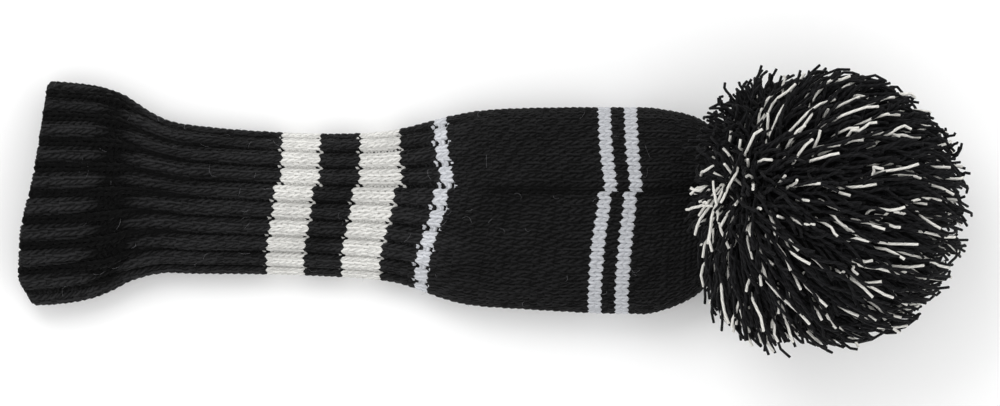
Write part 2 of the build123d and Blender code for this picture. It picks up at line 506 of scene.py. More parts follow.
def sweep_yarn(add, curve, along, scale, radius, sides):
    """A yarn along a curve. Its lobe and along attributes tell a material how the plies turn."""
    marked = add("GeometryNodeStoreNamedAttribute", curve, None, "along", along, data_type="FLOAT",
                 domain="POINT")
    circle = add("GeometryNodeCurvePrimitiveCircle", sides, 1.0)
    around = add("GeometryNodeInputPosition")
    profile = add("GeometryNodeStoreNamedAttribute", circle, None, "lobe", around,
                  data_type="FLOAT_VECTOR", domain="POINT")
    thick = add(MATH, scale, radius, operation="MULTIPLY")
    return add("GeometryNodeCurveToMesh", marked, profile, thick, True)


def wander(add, spot, scale, detail, roughness, amount):
    """A smooth random shift, either way from nothing, that depends on a spot."""
    noise = add("ShaderNodeTexNoise", spot, scale, detail, roughness, 2.0, 0.0)
    centred = add("ShaderNodeVectorMath", noise.outputs["Color"], (-0.5, -0.5, -0.5), operation="ADD")
    return add("ShaderNodeVectorMath", centred, amount, operation="SCALE")


def ends_of_points(add, given, last):
    """For each of a tree's points: its yarn end, how far along it is, and a random draw per end."""
    index = add("GeometryNodeInputIndex")
    share = add(MATH, index, given["Points"], operation="DIVIDE")
    end = add(MATH, share, operation="FLOOR")
    step = add(MATH, index, given["Points"], operation="FLOORED_MODULO")
    along = add(MATH, step, last, operation="DIVIDE")

    def chance(low, high, extra):
        seed = add(MATH, given["Seed"], float(extra), operation="ADD")
        return add("FunctionNodeRandomValue", low, high, end, seed, data_type="FLOAT")

    return end, along, chance


def sweep_ends(tree, add, given, end, spot, hidden, root):
    """Ends the tree with a yarn through each end's spots, root times as thick where it starts."""
    count = add(MATH, given["Ends"], given["Points"], operation="MULTIPLY")
    dots = add("GeometryNodePoints", count, spot, MM)
    for label, value in (("end", end), ("hidden", hidden)):
        dots = add("GeometryNodeStoreNamedAttribute", dots, None, label, value, data_type="FLOAT",
                   domain="POINT")
    group, unseen = (
        add("GeometryNodeInputNamedAttribute", label, data_type="FLOAT") for label in ("end", "hidden")
    )
    kept = add("GeometryNodeDeleteGeometry", dots, unseen, domain="POINT")
    curves = add("GeometryNodePointsToCurves", kept, group)
    length = add("GeometryNodeSplineParameter")
    thickness = add("ShaderNodeMapRange", length.outputs["Factor"], 0.0, 0.2, root, 1.0)
    yarn = sweep_yarn(add, curves, length.outputs["Length"], thickness, given["Radius"], given["Sides"])
    finish_tree(tree, add, yarn, given["Material"])


def sample_knit(add, given, wale, row):
    """What the knit's surface says at a wale and a row: place, outward way and yarn."""
    column = add(MATH, wale, float(WALE_MARGIN), operation="ADD")
    wide = add(MATH, given["Wales"], 2.0 * WALE_MARGIN, operation="ADD")
    u = add(MATH, column, wide, operation="DIVIDE")
    inside = add("ShaderNodeClamp", u, 0.001, 0.999)
    up = add(MATH, row, given["Low Row"], operation="SUBTRACT")
    tall = add(MATH, given["High Row"], given["Low Row"], operation="SUBTRACT")
    v = add(MATH, up, tall, operation="DIVIDE")
    target = add("ShaderNodeCombineXYZ", inside, v, 0.0)
    cell, outward, yarn = (
        add("GeometryNodeInputNamedAttribute", label, data_type="FLOAT_VECTOR")
        for label in ("cell", "outward", "yarn")
    )
    return [
        add("GeometryNodeSampleUVSurface", given["Surface"], value, cell, target,
            data_type="FLOAT_VECTOR")
        for value in (add("GeometryNodeInputPosition"), outward, yarn)
    ]


def stitch_tree():
    """Knit stitches: one yarn that loops through wales and rows, in a spiral round the tube."""
    tree, given, add = new_tree("knit_stitches", {
        "Float": "First Row, Low Row, High Row, Sway, Reach, Depth, Radius, Ribbed, Unevenness",
        "Int": "Rows, Wales, Points, Sides", "Material": "Material",
    })
    stitches = add(MATH, given["Rows"], given["Wales"], operation="MULTIPLY")
    count = add(MATH, stitches, given["Points"], operation="MULTIPLY")
    line = add("GeometryNodeMeshLine", count, (0, 0, 0), (0, 0, MM))
    index = add("GeometryNodeInputIndex")
    stitch = add(MATH, index, given["Points"], operation="DIVIDE")
    wave = add(MATH, stitch, 2 * math.pi, operation="MULTIPLY")
    wave_twice = add(MATH, wave, 2.0, operation="MULTIPLY")
    wale = add(MATH, stitch, given["Wales"], operation="FLOORED_MODULO")
    turns = add(MATH, stitch, given["Wales"], operation="DIVIDE")
    row = add(MATH, turns, given["First Row"], operation="ADD")

    # A small wander gives each stitch its own place and height.
    spot = add("ShaderNodeCombineXYZ", wale, row, 0.0)
    uneven = wander(add, spot, 0.9, 2.0, 0.6, given["Unevenness"])
    shift = add("ShaderNodeSeparateXYZ", uneven)

    # The loop: legs that cross from wale's edge to wale's middle, and rounded ends.
    sine = add(MATH, wave_twice, operation="SINE")
    across = add(MATH, sine, given["Sway"], wale, operation="MULTIPLY_ADD")
    across = add(MATH, across, shift.outputs[0], operation="ADD")
    cosine = add(MATH, wave, operation="COSINE")
    drop = add(MATH, cosine, given["Reach"], operation="MULTIPLY")
    up = add(MATH, row, drop, operation="SUBTRACT")
    up = add(MATH, up, shift.outputs[1], operation="ADD")

    # A purl wale shows its back: its loops go the other way through the cloth.
    whole = add(MATH, wale, operation="FLOOR")
    in_rib = add(MATH, whole, float(RIB_WALES), operation="FLOORED_MODULO")
    is_purl = add(MATH, in_rib, 1.5, operation="GREATER_THAN")
    turned = add(MATH, is_purl, given["Ribbed"], operation="MULTIPLY")
    side = add(MATH, turned, -2.0, 1.0, operation="MULTIPLY_ADD")
    back = add(MATH, wave_twice, operation="COSINE")
    depth = add(MATH, back, given["Depth"], operation="MULTIPLY")
    lift = add(MATH, depth, side, operation="MULTIPLY")
    lift = add(MATH, lift, -1.0, operation="MULTIPLY")
    bumpy = add(MATH, shift.outputs[2], given["Depth"], lift, operation="MULTIPLY_ADD")

    on_surface, off_surface, found = sample_knit(add, given, across, up)
    marks = add("ShaderNodeSeparateXYZ", found)
    here = marks.outputs[0]
    raised = add(MATH, bumpy, here, operation="MULTIPLY")
    push = add("ShaderNodeVectorMath", off_surface, raised, operation="SCALE")
    moved = add("ShaderNodeVectorMath", on_surface, push, operation="ADD")
    marked = add("GeometryNodeStoreNamedAttribute", line, None, "thickness", here, data_type="FLOAT",
                 domain="POINT")
    # The raised share darkens the yarn's colour in its material: painted shade where the cloth sinks.
    marked = add("GeometryNodeStoreNamedAttribute", marked, None, "raised", marks.outputs[1],
                 data_type="FLOAT", domain="POINT")
    bent = add("GeometryNodeSetPosition", marked, None, moved)
    curve = add("GeometryNodeMeshToCurve", bent)
    along = add("GeometryNodeSplineParameter")
    thickness = add("GeometryNodeInputNamedAttribute", "thickness", data_type="FLOAT")
    yarn = sweep_yarn(add, curve, along.outputs["Length"], thickness, given["Radius"], given["Sides"])
    finish_tree(tree, add, yarn, given["Material"])
    return tree


def lying_tree():
    """Fibres or yarn ends that lie on the knit: each starts in a row and keeps to a way, or curls."""
    tree, given, add = new_tree("ends_on_knit", {
        "Float": "First Row, Last Row, Low Row, High Row, Shortest, Longest, Heading, Spread, Curl, "
                 "Lift, Arch, Radius",
        "Int": "Ends, Points, Wales, Sides, Seed", "Material": "Material",
    })
    hair, along, chance = ends_of_points(add, given, given["Points"])
    turn = add(MATH, chance(-1.0, 1.0, 1), given["Spread"], given["Heading"], operation="MULTIPLY_ADD")
    curl = add(MATH, chance(-1.0, 1.0, 2), given["Curl"], operation="MULTIPLY")
    curl = add(MATH, curl, along, operation="MULTIPLY")
    way = add(MATH, turn, curl, operation="ADD")
    own_length = chance(given["Shortest"], given["Longest"], 3)
    far = add(MATH, own_length, along, operation="MULTIPLY")
    cosine = add(MATH, way, operation="COSINE")
    sine = add(MATH, way, operation="SINE")
    first_wale = chance(0.0, float(WALES), 4)
    first_row = chance(given["First Row"], given["Last Row"], 5)
    wale = add(MATH, cosine, far, first_wale, operation="MULTIPLY_ADD")
    row = add(MATH, sine, far, first_row, operation="MULTIPLY_ADD")
    on_surface, off_surface, _ = sample_knit(add, given, wale, row)
    arch = add(MATH, along, chance(-0.3, 1.0, 6), operation="MULTIPLY")
    height = add(MATH, arch, given["Arch"], given["Lift"], operation="MULTIPLY_ADD")
    push = add("ShaderNodeVectorMath", off_surface, height, operation="SCALE")
    spot = add("ShaderNodeVectorMath", on_surface, push, operation="ADD")
    parts = add("ShaderNodeSeparateXYZ", spot)
    above = add(MATH, parts.outputs[2], given["Radius"], operation="MAXIMUM")
    spot = add("ShaderNodeCombineXYZ", parts.outputs[0], parts.outputs[1], above)
    sweep_ends(tree, add, given, hair, spot, 0.0, 1.0)
    return tree


def strand_tree():
    """Pom-pom strands: cut yarn ends that fan out of a whorl and lie over one another like fur."""
    tree, given, add = new_tree("pompom_strands", {
        "Float": "Ball, Root, Ragged, Lie, Lie Varies, From, To, Turn, Sector, Wave, Stray, Radius, "
                 "Face, Overhang",
        "Int": "Ends, Points, Sides, Seed", "Vector": "Centre", "Rotation": "Whorl",
        "Material": "Material",
    })
    last = add(MATH, given["Points"], 1.0, operation="SUBTRACT")
    strand, along, chance = ends_of_points(add, given, last)
    left = add(MATH, 1.0, along, operation="SUBTRACT")

    # Where each tip is on the ball: evenly spread turns and heights, a little disturbed.
    half_step = add(MATH, strand, 0.5, operation="ADD")
    order = add(MATH, half_step, given["Ends"], operation="DIVIDE")
    height = add("ShaderNodeMapRange", order, 0.0, 1.0, given["From"], given["To"])
    jolt = add(MATH, height, chance(-0.02, 0.02, 1), operation="ADD")
    tip_tilt = add(MATH, jolt, operation="ARCCOSINE")
    golden = add(MATH, strand, GOLDEN, operation="MULTIPLY")
    whole = add(MATH, golden, chance(-0.02, 0.02, 2), operation="ADD")
    part = add(MATH, whole, operation="FRACT")
    turn = add(MATH, part, given["Sector"], given["Turn"], operation="MULTIPLY_ADD")

    # A strand comes from under its neighbours and lies away from the whorl.
    low_lie = add(MATH, given["Lie"], given["Lie Varies"], operation="SUBTRACT")
    high_lie = add(MATH, given["Lie"], given["Lie Varies"], operation="ADD")
    lie = chance(low_lie, high_lie, 3)
    shallow = add(MATH, tip_tilt, 0.85, operation="MULTIPLY")
    lie = add(MATH, lie, shallow, operation="MINIMUM")
    lean = add(MATH, lie, left, operation="MULTIPLY")
    tilt = add(MATH, tip_tilt, lean, operation="SUBTRACT")
    low_end = add(MATH, 1.0, given["Ragged"], operation="SUBTRACT")
    reach = chance(low_end, 1.02, 4)
    reach = add(MATH, reach, given["Ball"], operation="MULTIPLY")
    sunk = add(MATH, left, 1.15, operation="POWER")
    rise = add(MATH, sunk, given["Root"], operation="MULTIPLY")
    rise = add(MATH, 1.0, rise, operation="SUBTRACT")
    far = add(MATH, reach, rise, operation="MULTIPLY")

    def on_ball(angle, distance):
        sine = add(MATH, angle, operation="SINE")
        flat = add(MATH, sine, distance, operation="MULTIPLY")
        turn_cosine = add(MATH, turn, operation="COSINE")
        turn_sine = add(MATH, turn, operation="SINE")
        x = add(MATH, flat, turn_cosine, operation="MULTIPLY")
        y = add(MATH, flat, turn_sine, operation="MULTIPLY")
        cosine = add(MATH, angle, operation="COSINE")
        z = add(MATH, cosine, distance, operation="MULTIPLY")
        spot = add("ShaderNodeCombineXYZ", x, y, z)
        turned = add("FunctionNodeRotateVector", spot, given["Whorl"])
        return add("ShaderNodeVectorMath", turned, given["Centre"], operation="ADD")

    path = on_ball(tilt, far)
    own = add(MATH, strand, 3.7, operation="MULTIPLY")
    bend_at = add(MATH, along, 1.6, operation="MULTIPLY")
    bend_spot = add("ShaderNodeCombineXYZ", own, bend_at, given["Seed"])
    bend = wander(add, bend_spot, 1.0, 1.0, 0.5, given["Wave"])
    path = add("ShaderNodeVectorMath", path, bend, operation="ADD")
    stray = add(MATH, given["Seed"], 5.0, operation="ADD")
    astray = add("FunctionNodeRandomValue", (-1, -1, -1), (1, 1, 1), strand, stray,
                 data_type="FLOAT_VECTOR")
    much = add(MATH, left, given["Stray"], operation="MULTIPLY")
    astray = add("ShaderNodeVectorMath", astray, much, operation="SCALE")
    path = add("ShaderNodeVectorMath", path, astray, operation="ADD")

    # The strands rest on the floor, and over the crown they stay above its shoulder.
    spread = add("ShaderNodeSeparateXYZ", path)
    floor = add(MATH, given["Radius"], 1.1, operation="MULTIPLY")
    over = add("ShaderNodeMapRange", spread.outputs[0], given["Face"], 0.0, floor, given["Overhang"])
    before = add(MATH, given["Face"], 4 * MM, operation="SUBTRACT")
    tree.links.new(before.outputs[0], over.inputs["From Max"])
    above = add(MATH, spread.outputs[2], over, operation="MAXIMUM")
    path = add("ShaderNodeCombineXYZ", spread.outputs[0], spread.outputs[1], above)

    tip = add("ShaderNodeSeparateXYZ", on_ball(tip_tilt, reach))
    ahead = add(MATH, tip.outputs[0], given["Face"], operation="LESS_THAN")
    under = add(MATH, tip.outputs[2], given["Overhang"], operation="LESS_THAN")
    hidden = add(MATH, ahead, under, operation="MULTIPLY")
    sweep_ends(tree, add, given, strand, path, hidden, 0.75)
    return tree


# ---------------------------------------------------------------- materials

# A wave texture's ridges are this far apart along an axis at a scale of one.
WAVE_GAP = math.pi / 10


def linear(text):
    """An sRGB hex colour as linear red, green and blue."""
    parts = [int(text[i:i + 2], 16) / 255 for i in (1, 3, 5)]
    return tuple(c / 12.92 if c <= 0.04045 else ((c + 0.055) / 1.055) ** 2.4 for c in parts)


def new_material(name):
    """An empty material, its tree, and add_node with the tree filled in."""
    material = bpy.data.materials.new(name)
    material.use_nodes = True
    material.node_tree.nodes.clear()
    return material, material.node_tree, partial(add_node, material.node_tree)


def finish_cloth(tree, add, tone, height, colour, shade, roughness, sheen, relief):
    """Ends a cloth material: a ramp from its grooves' shade to its colour, relief and soft sheen."""
    colours = add("ShaderNodeValToRGB", tone)
    for stop, position, depth in zip(colours.color_ramp.elements, (0.3, 1.0), (shade, 1.0)):
        stop.position = position
        stop.color = (*(c * depth for c in colour), 1)
    bump = add("ShaderNodeBump", 0.6, relief)
    tree.links.new(height.outputs[0], bump.inputs["Height"])
    cloth = add("ShaderNodeBsdfPrincipled")
    for label, value in (
        ("Roughness", roughness), ("Specular IOR Level", 0.12), ("Sheen Weight", sheen),
        ("Sheen Roughness", 0.45),
    ):
        cloth.inputs[label].default_value = value
    tree.links.new(colours.outputs[0], cloth.inputs["Base Color"])
    tree.links.new(bump.outputs[0], cloth.inputs["Normal"])
    add("ShaderNodeOutputMaterial", cloth)


def spun_yarn(name, colour, shade, plies, pitch, sheen, on_knit):
    """Plied acrylic yarn, spun and lightly brushed.

    To the eye: plies turn round it as fine slanted grooves, and fibres stand off and dull it.
    On a knit, painted shade darkens the sunk columns between the raised ribs.
    """
    material, tree, add = new_material(name)
    lobe = add("ShaderNodeAttribute", attribute_name="lobe")
    along = add("ShaderNodeAttribute", attribute_name="along")
    parts = add("ShaderNodeSeparateXYZ", lobe.outputs["Vector"])
    turn = add(MATH, parts.outputs[1], parts.outputs[0], operation="ARCTAN2")
    run = add(MATH, along.outputs["Fac"], 2 * math.pi / pitch, operation="MULTIPLY")
    phase = add(MATH, turn, float(plies), run, operation="MULTIPLY_ADD")
    ply = add(MATH, phase, operation="SINE")
    spot = add("ShaderNodeTexCoord").outputs["Object"]
    fibre = add("ShaderNodeTexNoise", spot, 2200.0, 3.0, 0.6)
    patch = add("ShaderNodeTexNoise", spot, 160.0, 2.0, 0.5)
    height = add(MATH, ply, 0.35, fibre.outputs["Fac"], operation="MULTIPLY_ADD")
    groove = add("ShaderNodeMapRange", height, -0.1, 1.1, 0.0, 1.0)
    tone = add(MATH, patch.outputs["Fac"], 0.5, groove, operation="MULTIPLY_ADD")
    if on_knit:
        # Painted shade: sunk columns, crease and pinch are darkened by the raised share, down to 0.35 of
        # the tone.
        raised = add("ShaderNodeAttribute", attribute_name="raised")
        painted_shade = add("ShaderNodeMapRange", raised.outputs["Fac"], 0.0, 1.0, 0.35, 1.0)
        tone = add(MATH, tone, painted_shade, operation="MULTIPLY")
    finish_cloth(tree, add, tone, height, colour, shade, 0.9, sheen, 0.4 * MM)
    return material


def knit_cloth(name, colour, ridge_gap):
    """Machine-knit lining cloth of fine plied yarn, unbrushed.

    To the eye: soft ridges run along the tube, with closer ones across them.
    """
    material, tree, add = new_material(name)
    spot = add("ShaderNodeTexCoord").outputs["Object"]
    scale = WAVE_GAP / ridge_gap
    wales = add("ShaderNodeTexWave", spot, scale, 0.6, 2.0, 0.5, bands_direction="Y")
    rows = add("ShaderNodeTexWave", spot, 1.3 * scale, 1.2, 2.0, 0.5, bands_direction="X")
    fibre = add("ShaderNodeTexNoise", spot, 1800.0, 3.0, 0.6)
    cloth = add(MATH, rows.outputs["Fac"], 0.4, wales.outputs["Fac"], operation="MULTIPLY_ADD")
    height = add(MATH, fibre.outputs["Fac"], 0.3, cloth, operation="MULTIPLY_ADD")
    tone = add("ShaderNodeMapRange", height, 0.2, 1.6, 0.0, 1.0)
    finish_cloth(tree, add, tone, height, colour, 0.1, 0.92, 0.04, 0.8 * MM)
    return material


def laid_cord(name, colour, lay, direction, roughness):
    """Hard-twisted polyester cord, heat-set.

    To the eye: its strands show as even ridges with a slight smooth shine.
    """
    material, tree, add = new_material(name)
    spot = add("ShaderNodeTexCoord").outputs["Object"]
    strands = add("ShaderNodeTexWave", spot, WAVE_GAP / lay, 0.3, 1.0, 0.5, bands_direction=direction)
    fibre = add("ShaderNodeTexNoise", spot, 3000.0, 2.0, 0.5)
    height = add(MATH, fibre.outputs["Fac"], 0.2, strands.outputs["Fac"], operation="MULTIPLY_ADD")
    tone = add("ShaderNodeMapRange", height, 0.0, 1.2, 0.0, 1.0)
    finish_cloth(tree, add, tone, height, colour, 0.2, roughness, 0.0, 0.3 * MM)
    return material


def studio_floor(colour):
    """Matte white paper sweep. To the eye: even and pale, with a faint tooth."""
    material, tree, add = new_material("Matte paper floor")
    spot = add("ShaderNodeTexCoord").outputs["Object"]
    tooth = add("ShaderNodeTexNoise", spot, 900.0, 2.0, 0.5)
    bump = add("ShaderNodeBump", 0.05, 0.1 * MM)
    tree.links.new(tooth.outputs["Fac"], bump.inputs["Height"])
    paper = add("ShaderNodeBsdfPrincipled")
    paper.inputs["Base Color"].default_value = (*colour, 1)
    paper.inputs["Roughness"].default_value = 0.95
    tree.links.new(bump.outputs[0], paper.inputs["Normal"])
    add("ShaderNodeOutputMaterial", paper)
    return material


MATERIALS = {}


# ---------------------------------------------------------------- settings


def pole_turn(way):
    """The rotation that turns straight up to a way."""
    return Vector((0, 0, 1)).rotation_difference(Vector(way).normalized()).to_euler()


def turn_towards(rotation, way):
    """The turn round a rotated pole at which a way lies."""
    local = rotation.to_matrix().inverted() @ Vector(way)
    return math.atan2(local.y, local.x)


def colour_property(name, description, default):
    return bpy.props.FloatVectorProperty(
        name=name, description=description, default=linear(default), subtype="COLOR", min=0, max=1)


class ColourSettings(bpy.types.PropertyGroup):
    black: colour_property("Black yarn", "The knit's main yarn", "#2A2A2B")
    wide: colour_property("Wide stripes", "Yarn of the two wide stripes", "#E9E8E4")
    thin: colour_property("Thin stripes", "Yarn of the three thin stripes", "#D8DADF")
    fibre: colour_property("Loose fibre", "Fibres that lie on the black knit", "#96969A")
    pompom_black: colour_property("Pom-pom black", "The pom-pom's main yarn", "#1B1B1D")
    pompom_white: colour_property("Pom-pom white", "Flecks in the pom-pom", "#ECEAE4")
    cord: colour_property("Cord", "Gathering thread, tie and binding", "#1C1C1E")
    floor: colour_property("Floor", "Paper under the cover", "#FEFEFE")


def length_property(name, description, default):
    return bpy.props.FloatProperty(name=name, description=description, default=default, unit="LENGTH")


def share_property(name, description, default):
    return bpy.props.FloatProperty(name=name, description=description, default=default)


def count_property(name, description, default):
    return bpy.props.IntProperty(name=name, description=description, default=default)


class KnitSettings(bpy.types.PropertyGroup):
    yarn: length_property("Yarn", "Diameter of the knitting yarn", 2.4 * MM)
    sway: share_property("Sway", "How far a stitch's legs cross, as a share of a wale", 0.2)
    reach: share_property("Reach", "How far a stitch reaches along, as a share of a row", 0.86)
    depth: length_property("Depth", "How far a loop goes in and out of the cloth", 0.85 * MM)
    unevenness: share_property("Unevenness", "How much stitches differ, as a share of a wale", 0.22)
    points: count_property("Points", "Points along each stitch", 13)
    sides: count_property("Sides", "Sides of the yarn", 6)
    hairs: count_property("Hairs", "Loose fibres on each half", 64)


class PomPomSettings(bpy.types.PropertyGroup):
    strands: count_property("Strands", "Black yarn ends in each of the pom-pom's layers", 1300)
    white_strands: count_property("White strands", "White yarn ends on the ball", 330)
    yarn: length_property("Yarn", "Diameter of the pom-pom yarn", 1.4 * MM)
    wave: length_property("Wave", "How far a strand bends off its way", 14 * MM)
    stray: length_property("Stray", "How far a strand starts from its place", 11 * MM)


class StageSettings(bpy.types.PropertyGroup):
    floor: length_property("Floor", "Side of the floor", 8.0)
    camera_height: length_property("Camera height", "Height of the camera above the floor", 6.0)
    view_width: length_property("View width", "Width of what the camera sees", 0.4737)
    key: bpy.props.FloatProperty(
        name="Key", description="Power of the key light", default=8.0, unit="POWER")


# ---------------------------------------------------------------- operators


def form_piece(form, name, material):
    """A piece from a finished form, in one material."""
    mesh = bpy.data.meshes.new(name)
    form.to_mesh(mesh)
    form.free()
    mesh.materials.append(MATERIALS[material])
    return new_object(name, mesh)


def place_piece(piece, band, crossing):
    """Puts a knit piece on its body, or, where it crosses a fold, leaves it off the bodies with its
    transform baked in.
    """
    if crossing:
        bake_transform(piece)
    else:
        bodies = frame["record"]["behaviour"]["bodies"]
        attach(piece, next(body for body, nodes in bodies.items() if band in nodes))
    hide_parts(band)


def fold_crossing(name):
    """The two bodies of a fold and where the knit starts and ends bending, from the child's side."""
    fold = joint(name)
    nodes = [n["node"] for n in fold["deforming_nodes"]]
    low = min(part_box(n)[0][0] for n in nodes)
    high = max(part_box(n)[1][0] for n in nodes)
    x, y, z = fold["pos_m"]
    return (fold["child"], fold["parent"], (low, y, z), (high, y, z))


def shared_surface():
    """The knit's surface: made once, and used by every operator that works on the cloth."""
    return bpy.data.meshes.get("knit_surface") or knit_surface()


class HEADCOVER_OT_yarns(bpy.types.Operator):
    """Spins and dyes the yarns: makes every material"""

    bl_idname = "headcover.yarns"
    bl_label = "Yarns"

    def execute(self, context):
        dye = context.scene.headcover_colours
        # The core's yarn is painted three tenths as bright as the pom-pom black: painted shade deep
        # inside the ball.
        core_painted_shade = [c * 0.3 for c in dye.pompom_black]
        for name, label, colour, shade, plies, pitch, sheen, on_knit in (
            ("black", "Black worsted yarn", dye.black, 0.05, 3, 6, 0.02, True),
            ("white", "Warm white worsted yarn", dye.wide, 0.59, 3, 6, 0.05, True),
            ("cool white", "Cool white worsted yarn", dye.thin, 0.61, 3, 6, 0.05, True),
            ("lint", "Loose pale fibre", dye.fibre, 0.45, 1, 4, 0.1, False),
            ("pom-pom black", "Black cut yarn", dye.pompom_black, 0.16, 2, 4, 0.03, False),
            ("pom-pom white", "White cut yarn", dye.pompom_white, 0.69, 2, 4, 0.05, False),
            ("pom-pom core", "Black yarn packed tight", core_painted_shade, 0.3, 2, 4, 0.0, False),
        ):
            MATERIALS[name] = spun_yarn(label, colour, shade, plies, pitch * MM, sheen, on_knit)
        MATERIALS["lining"] = knit_cloth("Black lining knit", dye.black, 21.36 * MM)
        for name, label, lay, direction, roughness in (
            ("thread", "Waxed black gathering thread", 9.425 * MM, "DIAGONAL", 0.6),
            ("tie", "Twisted black tying cord", 15.71 * MM, "X", 0.7),
            ("binding", "Black binding cord", 12.57 * MM, "Y", 0.75),
        ):
            MATERIALS[name] = laid_cord(label, dye.cord, lay, direction, roughness)
        MATERIALS["floor"] = studio_floor(dye.floor)
        return {"FINISHED"}


class HEADCOVER_OT_knit(bpy.types.Operator):
    """Knits the cover's bands and the lining round the mouth"""

    bl_idname = "headcover.knit"
    bl_label = "Knit"

    def execute(self, context):
        settings = context.scene.headcover_knit
        tree = stitch_tree()
        stretches = [(Band("cuff_hem", 2 * HEM_ROWS), -HEM_ROWS)]
        stretches += [(band, first_row_of(band.node)) for band in BANDS]
        inner = -HEM_ROWS
        for band in LINING_BANDS:
            inner -= band.rows
            stretches.append((band, inner))
        for band, first in stretches:
            lining = band.node.startswith("lining")
            piece = grow(f"{band.node}_knit", tree, shared_surface(), {
                **knit_grid(), "First Row": float(first), "Rows": band.rows,
                "Points": LINING_POINTS if lining else settings.points,
                "Sides": LINING_SIDES if lining else settings.sides,
                "Sway": settings.sway, "Reach": settings.reach, "Depth": settings.depth,
                "Radius": settings.yarn / 2, "Ribbed": float(band.ribbed),
                "Unevenness": settings.unevenness, "Material": MATERIALS[band.yarn],
            })
            crossing = fold_crossing(band.fold) if band.fold else None
            place_piece(piece, band.node, crossing)
        return {"FINISHED"}


class HEADCOVER_OT_fibres(bpy.types.Operator):
    """Scatters short pale fibres over the knit"""

    bl_idname = "headcover.fibres"
    bl_label = "Loose fibres"

    def execute(self, context):
        tree = lying_tree()
        shared = {
            **knit_grid(), "Ends": context.scene.headcover_knit.hairs, "Points": 6, "Shortest": 0.7,
            "Longest": 2.1, "Heading": 0.0, "Spread": math.pi, "Curl": 1.9, "Lift": 2.0 * MM,
            "Arch": 1.6 * MM, "Radius": 0.042 * MM, "Sides": 3, "Material": MATERIALS["lint"],
        }
        for name, first, last, fold, seed in (
            ("lint_cuff_and_neck", 1.0, 38.0, "cuff_fold", 5),
            ("lint_head", 42.0, 92.0, "neck_fold", 9),
        ):
            piece = grow(name, tree, shared_surface(), {
                **shared, "First Row": first, "Last Row": last, "Seed": seed})
            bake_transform(piece)
        return {"FINISHED"}


class HEADCOVER_OT_skirt(bpy.types.Operator):
    """Spreads yarn ends from the pom-pom's tie over the crown's shoulder"""

    bl_idname = "headcover.skirt"
    bl_label = "Pom-pom skirt"

    def execute(self, context):
        tree = lying_tree()
        crown = first_row_of("crown")
        shared = {
            **knit_grid(), "Points": 8, "First Row": crown + 18.2, "Last Row": crown + 20.8,
            "Shortest": 3.5, "Longest": 8.5, "Heading": -math.pi / 2, "Spread": 0.5, "Curl": 0.5,
            "Arch": 2.4 * MM, "Sides": 5, "Radius": context.scene.headcover_pompom.yarn / 2,
        }
        for name, shade, ends, lift, seed in (
            ("pompom_skirt_black", "black", 300, 2.2 * MM, 13),
            ("pompom_skirt_white", "white", 26, 3.0 * MM, 17),
        ):
            piece = grow(name, tree, shared_surface(), {
                **shared, "Ends": ends, "Lift": lift, "Seed": seed,
                "Material": MATERIALS[f"pom-pom {shade}"]})
            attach(piece, "head")
        return {"FINISHED"}


